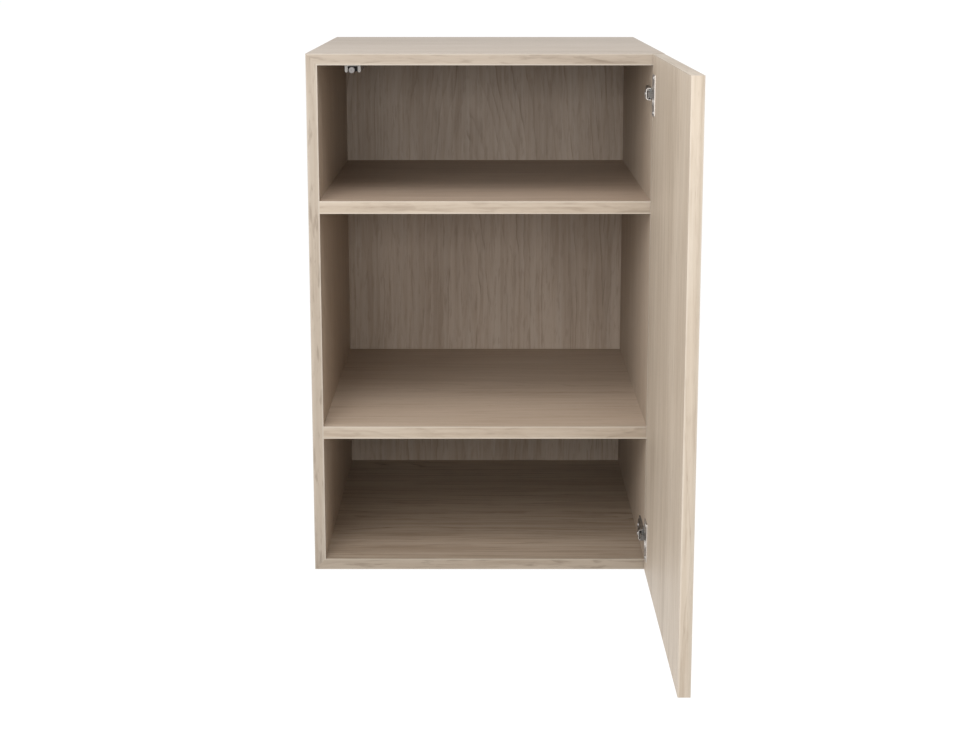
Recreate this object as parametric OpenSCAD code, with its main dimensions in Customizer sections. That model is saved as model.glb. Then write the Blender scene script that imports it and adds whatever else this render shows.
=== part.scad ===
// Hanging wall cabinet: a mitred carcass with two fixed shelves and one push-to-open door.
// X runs to the right, Y towards the wall and Z up. The origin is midway between the two
// hanging holes, on the wall plane. The door is drawn at a right angle to the front.

/* [Carcass] */
// Outside width
cabinet_w = 500; // [400:10:700]
// Outside height
cabinet_h = 750; // [740:10:900]
// Depth from the front edges to the wall
cabinet_d = 580; // [350:10:600]
// Thickness of the sides, top, bottom and door
panel_t = 16; // [16:1:19]
// Thickness of the edge bands
band_t = 1; // [0.5:0.1:2]
// Thickness of the back panel
back_t = 8; // [4:1:8]
// Space behind the back panel for the heads of the wall screws
back_gap = 8; // [8:1:16]
// Depth of the grooves that hold the back panel
groove_depth = 5; // [3:1:6]

/* [Shelves] */
// Thickness of a shelf
shelf_t = 18; // [16:1:25]
// Height of the upper shelf's top above the underside of the cabinet
upper_shelf_z = 544; // [480:2:570]
// Height of the lower shelf's top above the underside of the cabinet
lower_shelf_z = 216; // [180:2:300]
// Radius of a shelf dowel
shelf_dowel_r = 4; // [3:0.5:5]
// Length of a shelf dowel
shelf_dowel_length = 30; // [24:1:40]

/* [Door] */
// How far the closed door stays inside the cabinet's outline at each side
side_reveal = 2; // [1:0.5:2]
// How far the door stays inside the cabinet's outline at top and bottom
height_reveal = 0.5; // [0.5:0.5:3]
// Gap between the closed door and the carcass, which lets it be pressed
closed_gap = 3; // [3:0.5:4]
// How far the hinge edge stands in front of the carcass when the door is square to it
open_gap = 4; // [3.5:0.5:4.5]

/* [Hinges] */
// Height of the upper hinge above the underside of the cabinet
upper_hinge_z = 694; // [640:1:700]
// Height of the lower hinge above the underside of the cabinet
lower_hinge_z = 52; // [48:1:120]
// Distance from the door's edge to the centre of a hinge cup
cup_inset = 20.5; // [20.5:0.1:21]
// Distance from the front of the carcass to the mounting screws
plate_inset = 37; // [36:0.5:38]
// Distance between the two screws of a mounting plate, one behind the other
plate_pitch = 32; // [32:1:36]

/* [Push latch] */
// Distance from the left side panel to the middle of the latch
latch_inset = 49.5; // [30:0.5:120]
// How far the plunger reaches in front of the carcass when it is out
plunger_reach = 19; // [12:0.5:24]

/* [Hanging] */
// Distance from the middle of the cabinet to a hanging hole
hanging_hole_x = 210; // [160:1:215]
// Distance from the top of the cabinet down to the hanging holes
hanging_drop = 38; // [34:1:42]
// Radius of a hanging hole
hanging_hole_r = 5; // [4:0.5:6]

/* [Hidden] */

$fn = 64;
cut = 1;                                     // how far a cutting tool runs past a face
recess_half_w = 0.5;
recess_half_length = 2.2;
recess_depth = 0.5;

// Carcass. Its own measures are x from the middle, y back from the front edges, z up from below.
half_w = cabinet_w / 2;
inner_x = half_w - panel_t;
back_y = cabinet_d - back_gap - back_t;
hanging_z = cabinet_h - hanging_drop;
dowel_rows = [80, back_y - 64];
corner_dowel_rows = [for (i = [0:3]) dowel_rows[0] + i * (dowel_rows[1] - dowel_rows[0]) / 3];
corner_dowel_r = 3;
corner_dowel_length = 14;
dowel_in_side = 12;

// Door. Its own measures are u from the hinge edge, v outwards from the inner face, z up.
door_edge_x = half_w - side_reveal;
door_w = 2 * door_edge_x;
door_face_x = inner_x;
pivot_u = (door_edge_x - door_face_x + closed_gap - open_gap) / 2;
pivot_v = (door_edge_x - door_face_x - closed_gap + open_gap) / 2;

// Hinges. Their heights are counted from the hinge's own middle.
hinge_heights = [upper_hinge_z, lower_hinge_z];
pin_r = 1.1;
pin_half = 8.2;
knuckle_r = 2;
knuckle_bore_r = 1.15;
tongue_t = 2.4;
tongue_half = 4;
cup_r = 17.45;
cup_bore_r = 17.5;
cup_depth = 12.2;
cup_bore_depth = 12.5;
cup_wall = 0.7;
lug_near = 4.3;
lug_far = 8.6;
flange_t = 1.2;
flange_h = 57;
flange_w = 2 * (cup_bore_r + cup_wall);
flange_corner_r = 2;
cup_screw_pitch = 48;
cup_screw_offset = 6;
cup_screw_r = 1.6;
cup_screw_length = 12;
cup_head_r = 3.1;
cup_head_t = 0.9;
lug_back = 2.1;
lug_front = 2.6;
lug_rise = 2.4;
lug_clear = 0.3;
arm_h = 17;
arm_t = 1.3;
arm_reach = 9.2;
fixing_screw_y = plate_inset + plate_pitch / 2;
arm_y = [1.5, fixing_screw_y + 5];
arm_corner_r = 4;
tail_y = 15;
tail_reach = 5.2;
tail_corner_r = 1.5;
arm_clear = 0.2;
arm_screw_r = 1.6;
arm_screw_length = 4.4;
arm_head_r = 3.4;
arm_head_t = 0.9;
arm_screw_y = [24, fixing_screw_y];
knee_x = inner_x - 5.8;
knee_y = -12.4;
leg_y = 2;
bend_y = 7.2;
rivet_y = 10.8;
rivet_r = 1.5;
rivet_head_r = 2.6;
rivet_head_t = 0.8;
base_t = 2;
base_half = 7.5;
base_y = [16, plate_inset + plate_pitch + 8];
rib_x = inner_x - 3.7;
rib_half = 5.5;
rib_y = [14, fixing_screw_y + 4];
tongue_end_y = rib_y[0] - 0.4;
plate_screw_y = [plate_inset, plate_inset + plate_pitch];
plate_screw_r = 1.75;
plate_screw_length = 13;
plate_head_r = 3.4;
plate_head_t = 1.6;
counterbore_r = 3.8;

// Push latch, along Y under the top panel.
latch_x = -inner_x + latch_inset;
latch_top = cabinet_h - panel_t;
latch_w = 22;
latch_h = 10;
latch_cheek = 4;
latch_web = 1.4;
latch_y = [3, 85];
latch_screw_r = 1.5;
latch_screw_length = 12;
latch_head_r = 3;
cartridge_y = [8, 82];
cartridge_r = 4.2;
cartridge_end_t = 2;
cartridge_rise = 1;
plunger_r = 2.8;
plunger_bore_r = 2.86;
plunger_z = latch_top - 5.8;
plunger_end_y = 60;
tip_r = 4.2;
tip_t = 3;
tip_chamfer = 0.6;
dimple_r = 1;
dimple_depth = 0.5;
ear_y = 46;
ear_x = 15;
ear_t = 2.2;
ear_margin = 4;
ear_half = 6;

// Hanging plates, let into the rear edges.
hanger_t = 2;
hanger_x = [half_w - 64, half_w - 4];
hanger_z = [hanging_z - 8, cabinet_h - 4];
slot_r = 2.5;
slot_rise = 12;
hanger_screw_r = 1.75;
hanger_head_r = 3.5;
hanger_screw_length = 18;
hanger_screws = [[half_w - 8, hanging_z + 2], [half_w - 8, hanging_z + 18], [half_w - 26, cabinet_h - 8]];

wood = [0.82, 0.76, 0.68];
band_wood = [0.86, 0.79, 0.71];
steel = [0.72, 0.72, 0.73];
zinc = [0.60, 0.61, 0.63];
grey_plastic = [0.70, 0.69, 0.67];
dark_plastic = [0.13, 0.13, 0.13];

// Puts its children at carcass measures.
module at(x, y, z) {
    translate([x, y - cabinet_d, z - hanging_z]) children();
}

// A block between two corners, in carcass measures.
module block(from, to) {
    at(from[0], from[1], from[2]) cube(to - from);
}

// An outline in x and z, drawn back from y0 to y1.
module outline_back(points, y0, y1) {
    at(0, y1, 0) rotate([90, 0, 0]) linear_extrude(y1 - y0) polygon(points);
}

// Round bars along x, y and z from a point in carcass measures.
module bar_x(x, y, z, r, length) {
    at(x, y, z) rotate([0, 90, 0]) cylinder(r = r, h = length);
}

module bar_y(x, y, z, r, length) {
    at(x, y, z) rotate([-90, 0, 0]) cylinder(r = r, h = length);
}

module bar_z(x, y, z, r, length) {
    at(x, y, z) cylinder(r = r, h = length);
}

// A block in door measures.
module door_block(from, to) {
    block(
        [door_face_x + from[1], -open_gap - to[0], from[2]],
        [door_face_x + to[1], -open_gap - from[0], to[2]]
    );
}

// A round bar through the door's thickness, in door measures.
module door_bar(u, v, z, r, length) {
    bar_x(door_face_x + v, -open_gap - u, z, r, length);
}

// The cross recess of a screw head, sunk below z = 0.
module cross_recess() {
    for (turn = [0, 90]) rotate([0, 0, turn])
        translate([-recess_half_length, -recess_half_w, -recess_depth])
            cube([2 * recess_half_length, 2 * recess_half_w, recess_depth + cut]);
}

// ---- Carcass ----

function side_outline() = [
    [half_w, 0], [half_w, cabinet_h], [inner_x, cabinet_h - panel_t], [inner_x, panel_t]
];

function top_outline() = [
    [-half_w, cabinet_h], [half_w, cabinet_h],
    [inner_x, cabinet_h - panel_t], [-inner_x, cabinet_h - panel_t]
];

function bottom_outline() = [[-half_w, 0], [-inner_x, panel_t], [inner_x, panel_t], [half_w, 0]];

module back_panel_shape() {
    block(
        [-inner_x - groove_depth, back_y, panel_t - groove_depth],
        [inner_x + groove_depth, back_y + back_t, cabinet_h - panel_t + groove_depth]
    );
}

module corner_dowel_shapes() {
    for (y = corner_dowel_rows, side = [-1, 1], top = [0, 1]) {
        z = top == 1 ? cabinet_h - panel_t / 2 : panel_t / 2;
        slope = (top == 1) == (side == 1) ? 135 : 45;
        at(side * (half_w - panel_t / 2), y, z) rotate([0, slope, 0])
            cylinder(r = corner_dowel_r, h = corner_dowel_length, center = true);
    }
}

module shelf_dowel_shapes() {
    for (z = [upper_shelf_z, lower_shelf_z], y = dowel_rows) {
        bar_x(inner_x + dowel_in_side - shelf_dowel_length, y, z - shelf_t / 2,
            shelf_dowel_r, shelf_dowel_length);
        bar_x(-inner_x - dowel_in_side, y, z - shelf_t / 2, shelf_dowel_r, shelf_dowel_length);
    }
}

module side_blank() {
    difference() {
        outline_back(side_outline(), band_t, cabinet_d);
        back_panel_shape();
        corner_dowel_shapes();
        shelf_dowel_shapes();
        hanging_plate_pocket();
        hanging_screw_shapes();
    }
}

module left_side() {
    color(wood) mirror([1, 0, 0]) side_blank();
}

module right_side() {
    color(wood) difference() {
        side_blank();
        hinge_plate_screw_shafts();
    }
}

module top_panel() {
    color(wood) difference() {
        outline_back(top_outline(), band_t, cabinet_d);
        back_panel_shape();
        corner_dowel_shapes();
        latch_screw_shafts();
        for (side = [0, 1]) mirror([side, 0, 0]) {
            hanging_plate_pocket();
            hanging_screw_shapes();
        }
    }
}

module bottom_panel() {
    color(wood) difference() {
        outline_back(bottom_outline(), band_t, cabinet_d);
        back_panel_shape();
        corner_dowel_shapes();
    }
}

module back_panel() {
    color(wood) back_panel_shape();
}

module shelf(top_z) {
    color(wood) difference() {
        block([-inner_x, band_t, top_z - shelf_t], [inner_x, back_y, top_z]);
        shelf_dowel_shapes();
    }
}

module shelf_band(top_z) {
    color(band_wood) block([-inner_x, 0, top_z - shelf_t], [inner_x, band_t, top_z]);
}

module upper_shelf() { shelf(upper_shelf_z); }

module lower_shelf() { shelf(lower_shelf_z); }

module upper_shelf_band() { shelf_band(upper_shelf_z); }

module lower_shelf_band() { shelf_band(lower_shelf_z); }

module right_side_band() {
    color(band_wood) outline_back(side_outline(), 0, band_t);
}

module left_side_band() {
    mirror([1, 0, 0]) right_side_band();
}

module top_band() {
    color(band_wood) outline_back(top_outline(), 0, band_t);
}

module bottom_band() {
    color(band_wood) outline_back(bottom_outline(), 0, band_t);
}

module corner_dowels() {
    color(wood) corner_dowel_shapes();
}

module shelf_dowels() {
    color(wood) shelf_dowel_shapes();
}

// ---- Hanging plates ----

module hanging_plate_pocket() {
    block([hanger_x[0], cabinet_d - hanger_t, hanger_z[0]], [hanger_x[1], cabinet_d, hanger_z[1]]);
}

// Countersunk screws whose heads lie flush in the plate.
module hanging_screw_shapes() {
    for (p = hanger_screws) {
        bar_y(p[0], cabinet_d - hanger_screw_length, p[1], hanger_screw_r, hanger_screw_length);
        at(p[0], cabinet_d - hanger_t, p[1]) rotate([-90, 0, 0])
            cylinder(r1 = hanger_screw_r, r2 = hanger_head_r, h = hanger_t);
    }
}

module right_hanging_plate() {
    color(zinc) difference() {
        hanging_plate_pocket();
        hanging_screw_shapes();
        bar_y(hanging_hole_x, cabinet_d - hanger_t - cut, hanging_z, hanging_hole_r, hanger_t + 2 * cut);
        block(
            [hanging_hole_x - slot_r, cabinet_d - hanger_t - cut, hanging_z],
            [hanging_hole_x + slot_r, cabinet_d + cut, hanging_z + slot_rise]
        );
        bar_y(hanging_hole_x, cabinet_d - hanger_t - cut, hanging_z + slot_rise,
            slot_r, hanger_t + 2 * cut);
    }
}

module left_hanging_plate() {
    mirror([1, 0, 0]) right_hanging_plate();
}

module hanging_plate_screws() {
    color(zinc) for (side = [0, 1]) mirror([side, 0, 0]) difference() {
        hanging_screw_shapes();
        for (p = hanger_screws) at(p[0], cabinet_d, p[1]) rotate([-90, 0, 0]) cross_recess();
    }
}

// ---- Hinges: the parts on the carcass ----

module hinge_plate_screw_shafts() {
    for (h = hinge_heights, y = plate_screw_y)
        bar_x(inner_x - base_t, y, h, plate_screw_r, plate_screw_length);
}

module arm_screw_shafts(h) {
    for (y = arm_screw_y) bar_x(inner_x - tail_reach, y, h, arm_screw_r, arm_screw_length);
}

// A strip under the arm with a rib inside it, whose front screw sits in a counterbore.
module hinge_plate(h) {
    color(zinc) difference() {
        union() {
            block([inner_x - base_t, base_y[0], h - base_half], [inner_x, base_y[1], h + base_half]);
            block([rib_x, rib_y[0], h - rib_half], [inner_x, rib_y[1], h + rib_half]);
        }
        bar_x(rib_x - cut, plate_inset, h, counterbore_r, inner_x - base_t - rib_x + cut);
        hinge_plate_screw_shafts();
        arm_screw_shafts(h);
    }
}

module upper_hinge_plate() { hinge_plate(upper_hinge_z); }

module lower_hinge_plate() { hinge_plate(lower_hinge_z); }

module hinge_plate_screws() {
    head_x = inner_x - base_t - plate_head_t;
    color(steel) difference() {
        union() {
            hinge_plate_screw_shafts();
            for (h = hinge_heights, y = plate_screw_y)
                bar_x(head_x, y, h, plate_head_r, plate_head_t);
        }
        for (h = hinge_heights, y = plate_screw_y) at(head_x, y, h) rotate([0, -90, 0]) cross_recess();
    }
}

// Section of the arm, open towards the side panel, with rounded outer corners.
module arm_section(x, end_x, half_h, corner_r) {
    translate([x + corner_r, -half_h]) square([end_x - x - corner_r, 2 * half_h]);
    translate([x, -half_h + corner_r]) square([corner_r, 2 * (half_h - corner_r)]);
    for (side = [-1, 1]) translate([x + corner_r, side * (half_h - corner_r)]) circle(corner_r);
}

// A length of that section, drawn back over ys.
module arm_length(h, x, end_x, half_h, corner_r, ys) {
    at(0, ys[1], h) rotate([90, 0, 0]) linear_extrude(ys[1] - ys[0])
        arm_section(x, end_x, half_h, corner_r);
}

// A high mouth for the tongue, then a lower tail over the mounting plate.
module hinge_arm(h) {
    arm_x = inner_x - arm_reach;
    tail_x = inner_x - tail_reach;
    end_x = inner_x - base_t - arm_clear;
    half_h = arm_h / 2;
    color(steel) difference() {
        union() {
            arm_length(h, arm_x, end_x, half_h, arm_corner_r, [arm_y[0], tail_y + arm_t]);
            arm_length(h, tail_x, end_x, half_h, tail_corner_r, [tail_y, arm_y[1]]);
        }
        arm_length(h, arm_x + arm_t, end_x + cut, half_h - arm_t, arm_corner_r - arm_t,
            [arm_y[0] - cut, tail_y]);
        arm_length(h, tail_x + arm_t, end_x + cut, half_h - arm_t, tail_corner_r - arm_t,
            [tail_y - cut, arm_y[1] + cut]);
        arm_screw_shafts(h);
        bar_x(arm_x - cut, rivet_y, h, rivet_r, arm_t + 2 * cut);
    }
}

module upper_hinge_arm() { hinge_arm(upper_hinge_z); }

module lower_hinge_arm() { hinge_arm(lower_hinge_z); }

module hinge_arm_screws() {
    head_x = inner_x - tail_reach - arm_head_t;
    color(zinc) for (h = hinge_heights) {
        arm_screw_shafts(h);
        for (y = arm_screw_y) difference() {
            bar_x(head_x, y, h, arm_head_r, arm_head_t);
            at(head_x, y, h) rotate([0, -90, 0]) cross_recess();
        }
    }
}

function unit(v) = v / norm(v);

function left_of(v) = [-v[1], v[0]];

// The points of a path moved to its left by d, with sharp corners.
function beside(path, d) = [
    for (i = [0:len(path) - 1])
        let (
            before = i > 0 ? unit(path[i] - path[i - 1]) : unit(path[1] - path[0]),
            after = i < len(path) - 1 ? unit(path[i + 1] - path[i]) : before,
            normal = left_of(before) + left_of(after)
        )
        path[i] + normal * d / (normal * left_of(before))
];

function reversed(points) = [for (i = [len(points) - 1:-1:0]) points[i]];

// The tongue: a knuckle round the pin, a leg into the arm and a foot riveted under its web.
module hinge_tongue(h) {
    pivot = [door_face_x + pivot_v, -open_gap - pivot_u];
    foot_x = inner_x - arm_reach + arm_t + tongue_t / 2;
    path = [pivot, [knee_x, knee_y], [knee_x, leg_y], [foot_x, bend_y], [foot_x, tongue_end_y]];
    color(steel) difference() {
        union() {
            at(0, 0, h - tongue_half) linear_extrude(2 * tongue_half)
                polygon(concat(beside(path, tongue_t / 2), reversed(beside(path, -tongue_t / 2))));
            bar_z(pivot[0], pivot[1], h - tongue_half, knuckle_r, 2 * tongue_half);
        }
        bar_z(pivot[0], pivot[1], h - tongue_half - cut, knuckle_bore_r, 2 * (tongue_half + cut));
        bar_x(inner_x - arm_reach, rivet_y, h, rivet_r, arm_t + tongue_t + cut);
    }
}

module upper_hinge_tongue() { hinge_tongue(upper_hinge_z); }

module lower_hinge_tongue() { hinge_tongue(lower_hinge_z); }

module tongue_rivets() {
    color(steel) for (h = hinge_heights) {
        bar_x(inner_x - arm_reach, rivet_y, h, rivet_r, arm_t + tongue_t);
        bar_x(inner_x - arm_reach - rivet_head_t, rivet_y, h, rivet_head_r, rivet_head_t);
    }
}

// ---- Door ----

module cup_screw_shafts() {
    for (h = hinge_heights, side = [-1, 1])
        door_bar(cup_inset + cup_screw_offset, -flange_t, h + side * cup_screw_pitch / 2,
            cup_screw_r, cup_screw_length);
}

module door_panel() {
    color(wood) difference() {
        door_block([band_t, 0, height_reveal + band_t],
            [door_w - band_t, panel_t, cabinet_h - height_reveal - band_t]);
        for (h = hinge_heights) door_bar(cup_inset, -cut, h, cup_bore_r, cup_bore_depth + cut);
        cup_screw_shafts();
    }
}

module door_hinge_band() {
    color(band_wood) door_block([0, 0, height_reveal], [band_t, panel_t, cabinet_h - height_reveal]);
}

module door_free_band() {
    color(band_wood) door_block([door_w - band_t, 0, height_reveal],
        [door_w, panel_t, cabinet_h - height_reveal]);
}

module door_top_band() {
    color(band_wood) door_block([band_t, 0, cabinet_h - height_reveal - band_t],
        [door_w - band_t, panel_t, cabinet_h - height_reveal]);
}

module door_bottom_band() {
    color(band_wood) door_block([band_t, 0, height_reveal],
        [door_w - band_t, panel_t, height_reveal + band_t]);
}

// Outline of a hinge flange, drawn through its thickness, with the middle left open.
module flange(h) {
    long = flange_h / 2 - flange_corner_r;
    wide = flange_w / 2 - flange_corner_r;
    door_block([cup_inset - wide, -flange_t, h - flange_h / 2],
        [cup_inset + wide, 0, h + flange_h / 2]);
    door_block([cup_inset - flange_w / 2, -flange_t, h - long],
        [cup_inset + flange_w / 2, 0, h + long]);
    for (a = [-1, 1], b = [-1, 1])
        door_bar(cup_inset + a * wide, -flange_t, h + b * long, flange_corner_r, flange_t);
}

// A lug inside the cup that holds one end of the pin.
module pin_lug(from_z, to_z) {
    door_block([pivot_u - lug_back, pivot_v - lug_rise, from_z],
        [pivot_u + lug_front, cup_depth - lug_clear, to_z]);
}

module hinge_cup(h) {
    color(steel) difference() {
        union() {
            difference() {
                union() {
                    flange(h);
                    door_bar(cup_inset, 0, h, cup_r, cup_depth);
                }
                door_bar(cup_inset, -flange_t - cut, h, cup_r - cup_wall,
                    cup_depth - cup_wall + flange_t + cut);
            }
            intersection() {
                door_bar(cup_inset, 0, h, cup_r - cup_wall / 2, cup_depth);
                union() {
                    pin_lug(h + lug_near, h + lug_far);
                    pin_lug(h - lug_far, h - lug_near);
                }
            }
        }
        bar_z(door_face_x + pivot_v, -open_gap - pivot_u, h - pin_half, pin_r, 2 * pin_half);
        cup_screw_shafts();
    }
}

module upper_hinge_cup() { hinge_cup(upper_hinge_z); }

module lower_hinge_cup() { hinge_cup(lower_hinge_z); }

module hinge_cup_screws() {
    u = cup_inset + cup_screw_offset;
    head_v = -flange_t - cup_head_t;
    color(steel) {
        cup_screw_shafts();
        for (h = hinge_heights, side = [-1, 1]) {
            z = h + side * cup_screw_pitch / 2;
            difference() {
                door_bar(u, head_v, z, cup_head_r, cup_head_t);
                at(door_face_x + head_v, -open_gap - u, z) rotate([0, -90, 0]) cross_recess();
            }
        }
    }
}

module hinge_pin(h) {
    color(zinc)
        bar_z(door_face_x + pivot_v, -open_gap - pivot_u, h - pin_half, pin_r, 2 * pin_half);
}

module upper_hinge_pin() { hinge_pin(upper_hinge_z); }

module lower_hinge_pin() { hinge_pin(lower_hinge_z); }

// ---- Push latch ----

module latch_screw_shafts() {
    for (side = [-1, 1]) {
        bar_z(latch_x + side * ear_x, ear_y, latch_top - ear_t, latch_screw_r, latch_screw_length);
        at(latch_x + side * ear_x, ear_y, latch_top - ear_t)
            cylinder(r1 = latch_head_r, r2 = latch_screw_r, h = latch_head_r - latch_screw_r);
    }
}

module latch_housing() {
    round_r = latch_cheek / 2;
    cheek_x = latch_w / 2 - round_r;
    length = latch_y[1] - latch_y[0];
    color(grey_plastic) difference() {
        union() {
            for (side = [-1, 1]) {
                bar_y(latch_x + side * cheek_x, latch_y[0], latch_top - latch_h + round_r,
                    round_r, length);
                block([latch_x + side * cheek_x - round_r, latch_y[0], latch_top - latch_h + round_r],
                    [latch_x + side * cheek_x + round_r, latch_y[1], latch_top]);
            }
            block([latch_x - cheek_x, latch_y[0], latch_top - latch_web],
                [latch_x + cheek_x, latch_y[1], latch_top]);
            block([latch_x - ear_x - ear_margin, ear_y - ear_half, latch_top - ear_t],
                [latch_x + ear_x + ear_margin, ear_y + ear_half, latch_top]);
        }
        bar_y(latch_x, latch_y[0] - cut, plunger_z, cartridge_r, length + 2 * cut);
        latch_screw_shafts();
    }
}

module latch_cartridge() {
    half_cavity = latch_w / 2 - latch_cheek;
    length = cartridge_y[1] - cartridge_y[0];
    color(dark_plastic) difference() {
        union() {
            bar_y(latch_x, cartridge_y[0], plunger_z, cartridge_r, length);
            block([latch_x - half_cavity, cartridge_y[0], latch_top - latch_h + cartridge_rise],
                [latch_x + half_cavity, cartridge_y[1], latch_top - ear_t]);
        }
        bar_y(latch_x, cartridge_y[0] - cut, plunger_z, plunger_bore_r,
            length + cut - cartridge_end_t);
    }
}

module latch_screws() {
    color(steel) difference() {
        latch_screw_shafts();
        for (side = [-1, 1])
            at(latch_x + side * ear_x, ear_y, latch_top - ear_t) rotate([180, 0, 0]) cross_recess();
    }
}

module latch_plunger() {
    color(grey_plastic)
        bar_y(latch_x, tip_t - plunger_reach, plunger_z, plunger_r,
            plunger_end_y - tip_t + plunger_reach);
}

module latch_tip() {
    color(grey_plastic) difference() {
        union() {
            bar_y(latch_x, tip_chamfer - plunger_reach, plunger_z, tip_r, tip_t - tip_chamfer);
            at(latch_x, -plunger_reach, plunger_z) rotate([-90, 0, 0])
                cylinder(r1 = tip_r - tip_chamfer, r2 = tip_r, h = tip_chamfer);
        }
        bar_y(latch_x, -plunger_reach - cut, plunger_z, dimple_r, cut + dimple_depth);
    }
}

left_side();
right_side();
top_panel();
bottom_panel();
back_panel();
upper_shelf();
lower_shelf();
left_side_band();
right_side_band();
top_band();
bottom_band();
upper_shelf_band();
lower_shelf_band();
corner_dowels();
shelf_dowels();
left_hanging_plate();
right_hanging_plate();
hanging_plate_screws();
upper_hinge_plate();
lower_hinge_plate();
hinge_plate_screws();
upper_hinge_arm();
lower_hinge_arm();
hinge_arm_screws();
upper_hinge_tongue();
lower_hinge_tongue();
tongue_rivets();
door_panel();
door_hinge_band();
door_free_band();
door_top_band();
door_bottom_band();
upper_hinge_cup();
lower_hinge_cup();
hinge_cup_screws();
upper_hinge_pin();
lower_hinge_pin();
latch_housing();
latch_cartridge();
latch_screws();
latch_plunger();
latch_tip();
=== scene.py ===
"""Looks for the hanging wall cabinet: limed oak veneer, nickelled hinges and a plastic push latch.

Every size is in metres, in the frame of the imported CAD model, and every place comes from that frame.
"""

import math

import bpy
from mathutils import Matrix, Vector


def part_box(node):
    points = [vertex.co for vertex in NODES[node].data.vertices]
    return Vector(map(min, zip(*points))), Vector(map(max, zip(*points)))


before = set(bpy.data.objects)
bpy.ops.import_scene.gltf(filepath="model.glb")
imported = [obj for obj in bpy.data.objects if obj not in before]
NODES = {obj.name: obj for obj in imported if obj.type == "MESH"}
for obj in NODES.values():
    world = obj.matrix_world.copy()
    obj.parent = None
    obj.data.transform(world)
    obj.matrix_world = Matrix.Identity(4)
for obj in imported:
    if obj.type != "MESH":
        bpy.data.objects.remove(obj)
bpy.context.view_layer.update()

# ---------------------------------------------------------------- places taken from the frame

LEFT_LOW, LEFT_HIGH = (Vector(corner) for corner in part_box("left_side_band"))
RIGHT_LOW, RIGHT_HIGH = (Vector(corner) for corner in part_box("right_side_band"))
FRONT_Y = LEFT_LOW.y
UNDERSIDE_Z = LEFT_LOW.z
TOP_Z = LEFT_HIGH.z
WIDTH = RIGHT_HIGH.x - LEFT_LOW.x
MIDDLE_X = (RIGHT_HIGH.x + LEFT_LOW.x) / 2


# ---------------------------------------------------------------- node building

class Graph:
    """Builds one node material. Values are sockets or plain numbers."""

    def __init__(self, name):
        self.material = bpy.data.materials.new(name)
        self.material.use_nodes = True
        self.tree = self.material.node_tree
        self.tree.nodes.clear()
        self.output = self.tree.nodes.new("ShaderNodeOutputMaterial")
        self.shader = self.tree.nodes.new("ShaderNodeBsdfPrincipled")
        self.tree.links.new(self.shader.outputs[0], self.output.inputs[0])
        coordinates = self.tree.nodes.new("ShaderNodeTexCoord")
        self.place = coordinates.outputs["Object"]
        self.normal = coordinates.outputs["Normal"]

    def feed(self, socket, value):
        if isinstance(value, bpy.types.NodeSocket):
            self.tree.links.new(value, socket)
        elif isinstance(value, (tuple, list)) and len(value) == 3 and len(socket.default_value) == 4:
            socket.default_value = (*value, 1.0)
        else:
            socket.default_value = value

    def math(self, operation, a, b=0.0, clamp=False):
        node = self.tree.nodes.new("ShaderNodeMath")
        node.operation = operation
        node.use_clamp = clamp
        for socket, value in zip(node.inputs, (a, b)):
            self.feed(socket, value)
        return node.outputs[0]

    def add(self, a, b):
        return self.math("ADD", a, b)

    def times(self, a, b):
        return self.math("MULTIPLY", a, b)

    def off_middle(self, value):
        """A value between 0 and 1, moved to lie between -0.5 and 0.5."""
        return self.math("SUBTRACT", value, 0.5)

    def split(self, vector):
        node = self.tree.nodes.new("ShaderNodeSeparateXYZ")
        self.feed(node.inputs[0], vector)
        return node.outputs

    def join(self, x, y, z):
        node = self.tree.nodes.new("ShaderNodeCombineXYZ")
        for socket, value in zip(node.inputs, (x, y, z)):
            self.feed(socket, value)
        return node.outputs[0]

    def stretched(self, values, scales):
        """A point whose coordinates are the values, each multiplied by its own scale."""
        return self.join(*(self.times(value, scale) for value, scale in zip(values, scales)))

    def noise(self, vector, scale=1.0, detail=2.0, roughness=0.5, distortion=0.0):
        node = self.tree.nodes.new("ShaderNodeTexNoise")
        self.feed(node.inputs["Vector"], vector)
        node.inputs["Scale"].default_value = scale
        node.inputs["Detail"].default_value = detail
        node.inputs["Roughness"].default_value = roughness
        node.inputs["Distortion"].default_value = distortion
        return node.outputs[0]

    def random(self, value):
        node = self.tree.nodes.new("ShaderNodeTexWhiteNoise")
        node.noise_dimensions = "1D"
        self.feed(node.inputs["W"], value)
        return node.outputs[0]

    def cells(self, vector, scale, feature="F1"):
        node = self.tree.nodes.new("ShaderNodeTexVoronoi")
        node.feature = feature
        self.feed(node.inputs["Vector"], vector)
        node.inputs["Scale"].default_value = scale
        return node

    def between(self, value, low, high, to_low=0.0, to_high=1.0):
        node = self.tree.nodes.new("ShaderNodeMapRange")
        node.interpolation_type = "SMOOTHSTEP"
        for socket, number in zip(node.inputs, (value, low, high, to_low, to_high)):
            self.feed(socket, number)
        return node.outputs[0]

    def blend(self, factor, a, b, kind="MIX"):
        node = self.tree.nodes.new("ShaderNodeMix")
        node.data_type = "RGBA"
        node.blend_type = kind
        self.feed(node.inputs[0], factor)
        self.feed(node.inputs[6], a)
        self.feed(node.inputs[7], b)
        return node.outputs[2]

    def bump(self, height, strength, distance):
        node = self.tree.nodes.new("ShaderNodeBump")
        node.inputs["Strength"].default_value = strength
        node.inputs["Distance"].default_value = distance
        self.feed(node.inputs["Height"], height)
        self.feed(self.shader.inputs["Normal"], node.outputs[0])

    def set(self, **values):
        names = {"colour": "Base Color", "roughness": "Roughness", "metallic": "Metallic",
                 "specular": "Specular IOR Level", "coat": "Coat Weight"}
        for key, value in values.items():
            self.feed(self.shader.inputs[names[key]], value)


# ---------------------------------------------------------------- wood

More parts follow.
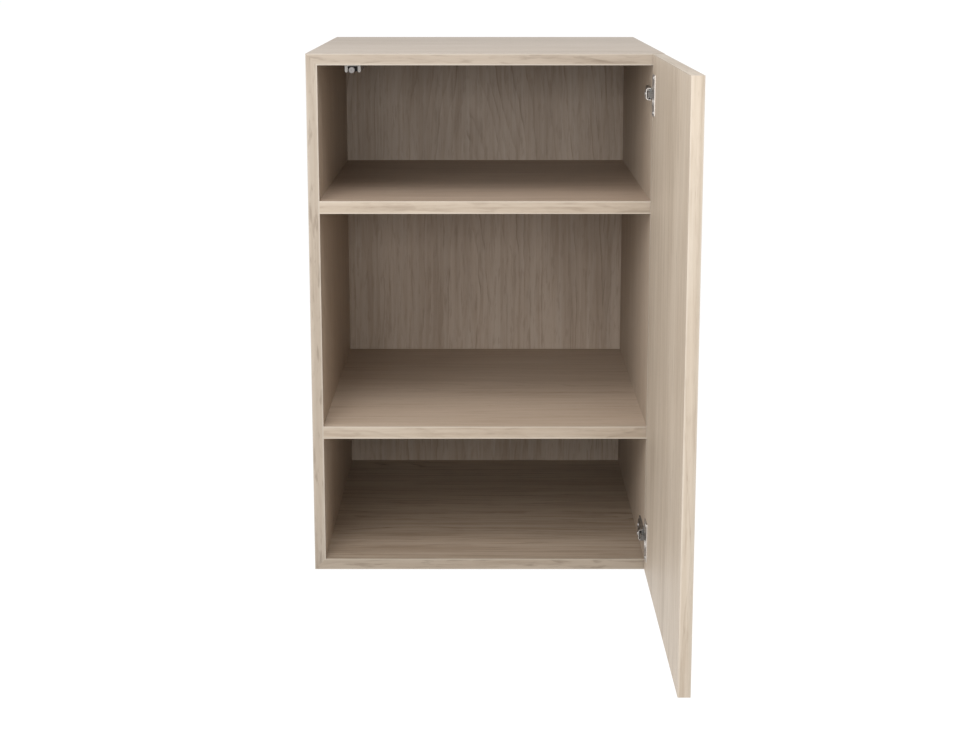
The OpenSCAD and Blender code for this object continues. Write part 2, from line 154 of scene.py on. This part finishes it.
OAK_PALE = (0.348, 0.300, 0.243)
OAK_MID = (0.260, 0.214, 0.164)
OAK_DARK = (0.157, 0.121, 0.086)
LIME = (0.394, 0.360, 0.310)
CHIP_PALE = (0.400, 0.315, 0.210)
CHIP_DARK = (0.190, 0.135, 0.080)

AXES = {"x": 0, "y": 1, "z": 2}

LEAF_SPREAD = 0.55       # how far off the heart a leaf may be cut, as a part of its width
HEART_WANDER = 0.095     # how far the log's heart strays to the side
HEART_SINK = 0.17        # how deep the heart lies at most
RING_WIDTH = 0.0088      # one year's growth
RING_RIPPLE = 1.9        # how far the rings are pushed about, in rings
ARRIS_W = 0.0026         # how far the painted highlight and wear reach from an arris


def veneer_leaves(g, side, leaf, seed):
    """Each leaf of veneer is a slice of the log, and every other one is turned over.

    Returns the place within the leaf and the leaf's own number between 0 and 1.
    """
    position = g.times(side, 1 / leaf)
    index = g.math("FLOOR", position)
    local = g.times(g.off_middle(g.math("FRACT", position)), leaf)
    turned = g.math("SUBTRACT", g.times(g.math("MODULO", g.math("ABSOLUTE", index), 2.0), 2.0), 1.0)
    return g.times(local, turned), g.random(g.add(index, seed))


def growth_rings(g, run, local, own, leaf, seed, heart):
    """The heart of the log wanders along the leaf and sinks and rises, which makes the arches.

    Returns the distance to the side of the heart and the rings, counted outwards.
    """
    wander = g.noise(g.join(g.times(run, 1.7), g.times(own, 9.0), seed), 1.0, 2.0)
    sink = g.noise(g.join(g.times(run, 1.15), g.times(own, 23.0), seed + 4.0), 1.0, 1.0)
    ripple = g.noise(g.join(g.times(run, 8.0), g.times(local, 24.0), seed + 7.0), 1.0, 3.0)
    own_shift = g.times(g.off_middle(own), leaf * LEAF_SPREAD)
    from_heart = g.add(g.add(local, own_shift), g.times(g.off_middle(wander), HEART_WANDER))
    from_heart = g.add(from_heart, heart)
    depth = g.times(sink, HEART_SINK)
    radius = g.math("SQRT", g.add(g.times(from_heart, from_heart), g.times(depth, depth)))
    rings = g.add(g.times(radius, 1 / RING_WIDTH), g.times(g.off_middle(ripple), RING_RIPPLE))
    return from_heart, rings


def arris_highlight_and_wear(g, place, fine, arris):
    """How pale the surface is painted beside the two edges of a narrow band: a painted highlight along
    each arris, with some wear.
    """
    axis, low, high = arris
    edge = g.math("MINIMUM", g.math("SUBTRACT", place[AXES[axis]], low),
                  g.math("SUBTRACT", high, place[AXES[axis]]))
    edge = g.add(edge, g.times(g.off_middle(fine), 0.0012))
    return g.between(edge, ARRIS_W, 0.0008)


def raw_board(g, place, chips_to_metre):
    """Bare particle board: its colour, and the tone of each chip."""
    chips = g.cells(g.join(place[0], place[1], g.times(place[2], 1.9)), chips_to_metre)
    chip_tone = g.split(chips.outputs["Color"])[0]
    clumps = g.noise(g.join(place[0], place[1], g.times(place[2], 1.4)), 70.0, 4.0, 0.65)
    clouds = g.noise(g.place, 9.0, 3.0, 0.55)
    darker = g.add(g.times(chip_tone, 0.55), g.between(clumps, 0.36, 0.68, -0.06, 0.22))
    darker = g.add(darker, g.between(clouds, 0.35, 0.68, -0.05, 0.12))
    return g.blend(g.math("ADD", darker, 0.0, clamp=True), CHIP_PALE, CHIP_DARK), chip_tone


def oak(name, along, across, leaf, seed, figure, streaky, patchy, tint, heart,
        mottle=0.0, raw_back=0.0, arris=None, sheen_and_wear=0.0, shade=None):
    """Limed oak veneer, with its grain along one axis and its leaves side by side across another.

    leaf is the width of a leaf. figure scales the arched growth rings, streaky the lines along
    the grain and patchy the soft light and dark areas. tint multiplies the colour. heart is how
    far the leaves were cut beside the log's heart, which turns the arches into lines. mottle is
    the strength of the darker flecks. raw_back shows raw board on the rear, with so many chips
    to a metre. arris names the axis whose two edges are painted paler on a narrow band, with its
    lowest and highest place: a painted highlight along each arris, together with some wear. The
    argument after arris says how much. shade darkens one end: an axis, the two places it runs
    between and its tone. On the bottom panel and the side bands this is painted shade, where
    the light falls off.
    """
    g = Graph(name)
    place = g.split(g.place)
    deep = [axis for axis in "xyz" if axis not in (along, across)][0]
    run = g.add(place[AXES[along]], seed * 1.731)
    side = g.add(place[AXES[across]], seed * 0.617)
    fibre = (run, side, place[AXES[deep]])
    local, own = veneer_leaves(g, side, leaf, seed)
    from_heart, rings = growth_rings(g, run, local, own, leaf, seed, heart)

    # Each ring starts pale and porous, and every one is a little different.
    phase = g.math("FRACT", rings)
    ring_own = g.random(g.math("FLOOR", rings))
    early = g.math("POWER", g.math("SUBTRACT", 1.0, phase), 1.7)
    early = g.times(early, g.between(phase, 0.0, 0.16))
    early = g.times(early, g.add(0.20, g.times(ring_own, 0.95)))

    # A few rings show as thin dark lines, broken off along their length.
    breaks = g.noise(g.join(g.times(run, 9.0), g.times(side, 60.0), seed + 19.0), 1.0, 2.0, 0.55)
    line = g.times(g.between(phase, 0.26, 0.08), g.between(phase, 0.0, 0.06))
    line = g.times(g.times(line, g.between(breaks, 0.47, 0.62)), g.between(ring_own, 0.15, 0.60))

    # Pores are short dashes along the grain, most of them in the early wood.
    dashes = g.noise(g.stretched(fibre, (42.0, 1250.0, 1250.0)), 1.0, 2.0, 0.6)
    pores = g.between(dashes, 0.56, 0.70)
    pores = g.times(pores, g.add(0.30, g.times(early, 0.9)))
    streaks = g.noise(g.stretched(fibre, (2.4, 150.0, 150.0)), 1.0, 4.0, 0.62)
    flames = g.noise(g.join(g.times(run, 6.5), g.times(side, 95.0), seed + 3.0), 1.0, 3.0, 0.6, 0.25)
    fine = g.noise(g.stretched(fibre, (11.0, 620.0, 620.0)), 1.0, 2.0, 0.5)
    cloud = g.noise(g.join(g.times(run, 2.2), g.times(side, 11.0), seed + 11.0), 1.0, 2.0)

    # Rays: short shining flecks on the quarter-cut flanks of each leaf.
    ray = g.cells(g.join(g.times(run, 60.0), g.times(side, 420.0), seed), 1.0)
    on_flank = g.between(g.math("ABSOLUTE", from_heart), 0.03, 0.07)
    flecks = g.times(g.between(ray.outputs[0], 0.16, 0.05), on_flank)

    grain = g.add(g.times(early, 0.46 * figure), g.times(g.off_middle(streaks), 1.05 * streaky))
    grain = g.add(grain, g.times(g.between(flames, 0.50, 0.72), 0.34 * streaky))
    grain = g.add(grain, g.times(g.off_middle(fine), 0.30))
    grain = g.add(grain, g.times(g.off_middle(cloud), 1.15 * patchy))
    grain = g.add(grain, g.times(g.off_middle(own), 0.16))
    grain = g.math("ADD", grain, 0.22, clamp=True)
    colour = g.blend(grain, OAK_PALE, OAK_MID)
    colour = g.blend(g.times(line, 0.55 * figure), colour, OAK_DARK)
    colour = g.blend(g.times(pores, 0.45), colour, OAK_DARK)
    colour = g.blend(g.times(flecks, 0.16), colour, LIME)
    wash = g.noise(g.join(g.times(run, 4.0), g.times(side, 60.0), seed + 2.0), 1.0, 3.0)
    colour = g.blend(g.between(wash, 0.40, 0.75, 0.0, 0.30), colour, LIME)
    roughness = g.add(0.46, g.add(g.times(pores, 0.20), g.times(cloud, 0.10)))
    height = g.add(g.times(pores, -1.0), g.add(g.times(early, -0.35), g.times(streaks, 0.25)))

    if mottle:
        blot = g.noise(g.join(g.times(run, 24.0), g.times(side, 170.0), seed + 29.0), 1.0, 3.0, 0.6, 0.3)
        colour = g.blend(g.between(blot, 0.52, 0.68, 0.0, mottle), colour, OAK_DARK)
    # Painted highlight along both arrises, with some wear: paler and a little rougher there.
    if arris:
        worn = arris_highlight_and_wear(g, place, fine, arris)
        colour = g.blend(g.times(worn, sheen_and_wear), colour, LIME)
        roughness = g.add(roughness, g.times(worn, 0.06))
    if raw_back:
        board, chip_tone = raw_board(g, place, raw_back)
        rear = g.between(g.split(g.normal)[1], 0.6, 0.8)
        colour = g.blend(rear, colour, board)
        roughness = g.add(roughness, g.times(rear, 0.30))
        height = g.add(height, g.times(rear, g.times(chip_tone, 1.5)))
    colour = g.blend(1.0, colour, tint, "MULTIPLY")
    # Darkens one end. On the bottom panel and the side bands this is painted shade.
    if shade:
        axis, dark_end, plain_end, tone = shade
        away = g.between(place[AXES[axis]], dark_end, plain_end)
        colour = g.blend(away, g.blend(1.0, colour, (tone, tone, tone), "MULTIPLY"), colour)

    g.set(colour=colour, roughness=roughness, specular=0.36)
    g.bump(height, 0.35, 0.0003)
    return g.material


def beech(name):
    """Plain beech for the dowels, with fluted grain along the dowel."""
    g = Graph(name)
    place = g.split(g.place)
    fleck = g.cells(g.stretched(place, (160.0, 900.0, 500.0)), 1.0)
    spots = g.between(fleck.outputs[0], 0.35, 0.10)
    tone = g.noise(g.stretched(place, (60.0, 300.0, 300.0)), 1.0, 3.0)
    colour = g.blend(tone, (0.62, 0.43, 0.26), (0.50, 0.33, 0.19))
    colour = g.blend(g.times(spots, 0.5), colour, (0.36, 0.21, 0.11))
    g.set(colour=colour, roughness=g.add(0.55, g.times(tone, 0.15)), specular=0.3)
    g.bump(tone, 0.3, 0.0003)
    return g.material


# ---------------------------------------------------------------- metal and plastic

LINES_TO_METRE = 2600.0      # brushing lines on metal
SKIN_TO_METRE = 4200.0       # grains of the moulded skin on plastic
BARE_METAL = (0.86, 0.85, 0.83)


def metal(name, colour, worn, roughness, brushed=(1.0, 1.0, 1.0), scratch=1.0, coat=0.0):
    """Plated metal with brushing, handling scratches and faint tarnish."""
    g = Graph(name)
    place = g.split(g.place)
    lines = g.noise(g.stretched(place, [LINES_TO_METRE * part for part in brushed]), 1.0, 2.0, 0.6)
    tarnish = g.noise(g.place, 85.0, 4.0, 0.6)
    marks = g.cells(g.stretched(place, (260.0, 90.0, 900.0)), 1.0, "DISTANCE_TO_EDGE")
    scratches = g.between(marks.outputs[0], 0.035, 0.0)
    shade = g.blend(g.between(tarnish, 0.35, 0.75), colour, worn)
    shade = g.blend(g.times(scratches, 0.25 * scratch), shade, BARE_METAL)
    rough = g.add(roughness, g.times(g.off_middle(lines), 0.16))
    rough = g.add(rough, g.times(tarnish, 0.08))
    g.set(colour=shade, metallic=1.0, roughness=rough, coat=coat)
    g.bump(g.add(g.times(lines, 0.6), g.times(scratches, -0.8 * scratch)), 0.12, 0.0001)
    return g.material


def plastic(name, colour, dark, roughness, specular=0.45):
    """Moulded plastic with a fine spark-eroded skin and slight flow marks."""
    g = Graph(name)
    skin = g.noise(g.place, SKIN_TO_METRE, 2.0, 0.6)
    flow = g.noise(g.place, 70.0, 3.0, 0.55, 0.6)
    pits = g.cells(g.place, 0.55 * SKIN_TO_METRE)
    shade = g.blend(g.between(flow, 0.3, 0.8), colour, dark)
    shade = g.blend(g.times(g.between(pits.outputs[0], 0.22, 0.02), 0.35), shade, dark)
    rough = g.add(roughness, g.times(g.off_middle(skin), 0.18))
    g.set(colour=shade, roughness=rough, specular=specular)
    g.bump(g.add(skin, g.times(pits.outputs[0], 0.5)), 0.18, 0.00012)
    return g.material


def dress(node, material):
    """Gives a CAD node its material."""
    piece = NODES[node]
    piece.data.materials.clear()
    piece.data.materials.append(material)


def smooth(node):
    """Shades a CAD node's curved faces smoothly. Its edges stay crisp, as faces share no vertices."""
    for polygon in NODES[node].data.polygons:
        polygon.use_smooth = True


BAND_LEAF = 0.060            # the leaf width and the streaks and patches of every band
BAND_STREAKS = 1.6
BAND_PATCHES = 0.9


def dress_carcass():
    """The boards, each with its node and the values that oak() takes, up to heart."""
    boards = [
        ("left_side", "z", "y", 0.190, 3.0, 0.6, 0.9, 0.6, (1.22, 1.13, 1.075), 0.08),
        ("right_side", "z", "y", 0.190, 8.0, 0.6, 0.9, 0.6, (1.20, 1.13, 1.09), 0.08),
        ("top_panel", "x", "y", 0.200, 5.0, 0.3, 0.25, 0.4, (1.03, 1.00, 1.01), 0.0),
        ("bottom_panel", "x", "y", 0.150, 13.0, 1.6, 3.6, 0.9, (1.12, 1.03, 0.97), 0.10),
        ("back_panel", "z", "x", 0.235, 21.0, 1.15, 1.5, 2.0, (1.15, 1.07, 1.04), 0.13),
        ("upper_shelf", "x", "y", 0.170, 31.0, 0.5, 1.3, 0.6, (1.13, 1.01, 0.96), 0.10),
        ("lower_shelf", "x", "y", 0.180, 37.0, 0.5, 1.3, 0.6, (1.26, 1.16, 1.11), 0.10),
    ]
    mottle = {"back_panel": 0.30}
    chips = {"back_panel": 700.0, "upper_shelf": 0.0, "lower_shelf": 0.0}
    # Painted shade: the bottom panel is darkened towards its front edge, and its tint above is raised a
    # little to lighten the rear, following the fall of light on it.
    painted_front_shade = {"bottom_panel": ("y", FRONT_Y, FRONT_Y + 0.25, 0.82)}
    for node, *look in boards:
        material = oak("oak_" + node, *look, mottle=mottle.get(node, 0.0),
                       raw_back=chips.get(node, 520.0), shade=painted_front_shade.get(node))
        dress(node, material)


def dress_edge_bands(bands, figure=0.8, heart=0.0):
    """The bands, each with its node, along, across, tint, mottle, the strength of the painted arris
    highlight with wear, and shade for oak().
    """
    for place, (node, along, across, tint, mottle, sheen_and_wear, shade) in enumerate(bands):
        low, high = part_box(node)
        axis = AXES[across]
        seed = 41.0 + 7.0 * place
        material = oak("oak_" + node, along, across, BAND_LEAF, seed, figure, BAND_STREAKS, BAND_PATCHES,
                       tint, heart, mottle, arris=(across, low[axis], high[axis]), sheen_and_wear=sheen_and_wear, shade=shade)
        dress(node, material)


def dress_carcass_bands():
    """Darker bands with a painted highlight and some wear on their arrises, and side bands with painted
    shade towards the underside.
    """
    side_tint = (0.92, 0.90, 0.89)
    shelf_tint = (1.00, 0.96, 0.93)
    # Painted shade: the side bands darken towards the underside, as the light falls from above.
    painted_low_shade = ("z", UNDERSIDE_Z, UNDERSIDE_Z + 0.16, 0.86)
    dress_edge_bands([
        ("left_side_band", "z", "x", side_tint, 0.55, 0.6, painted_low_shade),
        ("right_side_band", "z", "x", side_tint, 0.55, 0.6, painted_low_shade),
        ("top_band", "x", "z", (0.88, 0.85, 0.83), 0.40, 0.8, None),
        ("bottom_band", "x", "z", (0.72, 0.68, 0.64), 0.50, 0.7, None),
        ("upper_shelf_band", "x", "z", shelf_tint, 0.25, 0.7, None),
        ("lower_shelf_band", "x", "z", shelf_tint, 0.25, 0.7, None),
    ])


def dress_door():
    """Pale veneer in two leaves, and bands with a straight grain."""
    tint = (1.25, 1.21, 1.18)
    panel = oak("oak_door_panel", "z", "y", 0.248, 71.0, 0.5, 1.5, 1.5, tint, 0.06)
    dress("door_panel", panel)
    low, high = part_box("door_free_band")
    outer_half = ("x", high[0], (low[0] + high[0]) / 2, 0.90)
    dress_edge_bands([
        ("door_hinge_band", "z", "x", tint, 0.1, 0.4, None),
        ("door_free_band", "z", "x", (1.20, 1.18, 1.17), 0.1, 0.35, outer_half),
        ("door_top_band", "y", "x", (1.06, 1.04, 1.03), 0.1, 0.2, None),
        ("door_bottom_band", "y", "x", tint, 0.1, 0.4, None),
    ], figure=0.35, heart=0.12)


def dress_hardware():
    """Hinges, hanging plates, screws, push latch and dowels."""
    satin = metal("satin_nickel", (0.60, 0.565, 0.53), (0.53, 0.50, 0.47), 0.44, (1.0, 0.3, 1.0), 0.4)
    nickel = metal("nickel_plate", (0.42, 0.395, 0.37), (0.35, 0.33, 0.31), 0.36, (1.0, 0.06, 1.0))
    # The tongue is darker than the arm: its own steel, darkened further as painted shade inside the hinge
    # arm.
    tongue = metal("tongue_steel", (0.30, 0.285, 0.27), (0.24, 0.23, 0.22), 0.42, (1.0, 1.0, 0.2), 0.4)
    cast = metal("cast_zinc", (0.33, 0.33, 0.325), (0.27, 0.27, 0.265), 0.44, (1.0, 1.0, 1.0), 0.5)
    zinc = metal("zinc_plate", (0.56, 0.57, 0.59), (0.48, 0.48, 0.46), 0.36, (0.05, 1.0, 1.0))
    screw = metal("screw_steel", (0.38, 0.37, 0.36), (0.31, 0.30, 0.29), 0.40, (1.0, 1.0, 1.0), 0.7)
    grey = plastic("latch_grey", (0.170, 0.157, 0.145), (0.13, 0.12, 0.11), 0.42)
    dark = plastic("latch_dark", (0.012, 0.011, 0.010), (0.006, 0.006, 0.005), 0.60, specular=0.08)
    tip = plastic("plunger_grey", (0.112, 0.103, 0.099), (0.086, 0.079, 0.075), 0.38)
    looks = {
        satin: ("upper_hinge_cup", "lower_hinge_cup"),
        nickel: ("upper_hinge_arm", "lower_hinge_arm"),
        tongue: ("upper_hinge_tongue", "lower_hinge_tongue"),
        cast: ("upper_hinge_plate", "lower_hinge_plate"),
        zinc: ("left_hanging_plate", "right_hanging_plate"),
        screw: ("hanging_plate_screws", "hinge_plate_screws", "hinge_arm_screws", "tongue_rivets",
                "hinge_cup_screws", "upper_hinge_pin", "lower_hinge_pin", "latch_screws"),
        grey: ("latch_housing",),
        dark: ("latch_cartridge",),
        tip: ("latch_plunger", "latch_tip"),
    }
    for look, nodes in looks.items():
        for node in nodes:
            dress(node, look)
            smooth(node)
    dowels = beech("beech")
    for node in ("corner_dowels", "shelf_dowels"):
        dress(node, dowels)
        smooth(node)


# ---------------------------------------------------------------- studio

CAMERA_LENS = 70.63          # millimetres, on a 36 mm sensor
CAMERA_BACK = 5.356          # in front of the carcass, in cabinet widths
CAMERA_RISE = 1.757          # above the underside, in cabinet widths
CAMERA_DIP = 0.20986         # radians below the level
FLOOR_DROP = 1.40            # from the underside down to the floor
FLOOR_HALF = 150.0


def build_camera():
    """A camera straight in front, 2.68 m away and a little above the cabinet, looking down."""
    data = bpy.data.cameras.new("camera")
    data.sensor_width = 36.0
    data.lens = CAMERA_LENS
    data.clip_end = 500.0
    camera = bpy.data.objects.new("camera", data)
    bpy.context.collection.objects.link(camera)
    camera.location = (MIDDLE_X, FRONT_Y - CAMERA_BACK * WIDTH, UNDERSIDE_Z + CAMERA_RISE * WIDTH)
    camera.rotation_euler = (math.pi / 2 - CAMERA_DIP, 0.0, 0.0)
    bpy.context.scene.camera = camera


def area_light(name, place, aim, size, power):
    """A white rectangular light at a place, aimed at another, with its power in watts."""
    data = bpy.data.lights.new(name, "AREA")
    data.shape = "RECTANGLE"
    data.size, data.size_y = size
    data.energy = power
    light = bpy.data.objects.new(name, data)
    bpy.context.collection.objects.link(light)
    light.location = place
    light.rotation_euler = (Vector(aim) - Vector(place)).to_track_quat("-Z", "Y").to_euler()


def build_floor():
    """A plain pale floor, as far below the cabinet as a wall cabinet usually hangs."""
    mesh = bpy.data.meshes.new("floor")
    z = UNDERSIDE_Z - FLOOR_DROP
    signs = [(-1, -1), (1, -1), (1, 1), (-1, 1)]
    corners = [(x * FLOOR_HALF, y * FLOOR_HALF, z) for x, y in signs]
    mesh.from_pydata(corners, [], [(0, 1, 2, 3)])
    floor = bpy.data.objects.new("floor", mesh)
    bpy.context.collection.objects.link(floor)
    g = Graph("floor_paint")
    mottle = g.noise(g.place, 3.0, 4.0, 0.6)
    g.set(colour=g.blend(mottle, (0.94, 0.94, 0.94), (0.96, 0.96, 0.96)), roughness=0.75, specular=0.2)
    g.shader.inputs["Emission Color"].default_value = (1.0, 1.0, 1.0, 1.0)
    g.shader.inputs["Emission Strength"].default_value = 0.07
    mesh.materials.append(g.material)


def build_light():
    """Even white studio light, with four soft lights in front of the cabinet."""
    world = bpy.data.worlds.new("studio")
    world.use_nodes = True
    background = world.node_tree.nodes["Background"]
    background.inputs["Color"].default_value = (1.0, 1.0, 1.0, 1.0)
    background.inputs["Strength"].default_value = 1.0
    bpy.context.scene.world = world
    front_top = (0.0, FRONT_Y, TOP_Z - 0.3)
    area_light("high", (0.0, FRONT_Y - 1.2, TOP_Z + 1.4), front_top, (1.4, 0.8), 21.0)
    area_light("level", (-0.1, FRONT_Y - 2.9, 0.22), (0.0, FRONT_Y, -0.3), (1.3, 0.6), 25.0)
    area_light("side", (-2.2, FRONT_Y - 1.2, 0.5), (0.25, FRONT_Y - 0.2, -0.35), (1.2, 1.2), 8.0)
    area_light("key", (-0.75, FRONT_Y - 1.5, TOP_Z + 0.45), (0.15, FRONT_Y, TOP_Z - 0.3), (0.9, 0.7), 12.0)
    bpy.context.scene.view_settings.view_transform = "Standard"


build_camera()
build_floor()
build_light()
dress_carcass()
dress_carcass_bands()
dress_door()
dress_hardware()
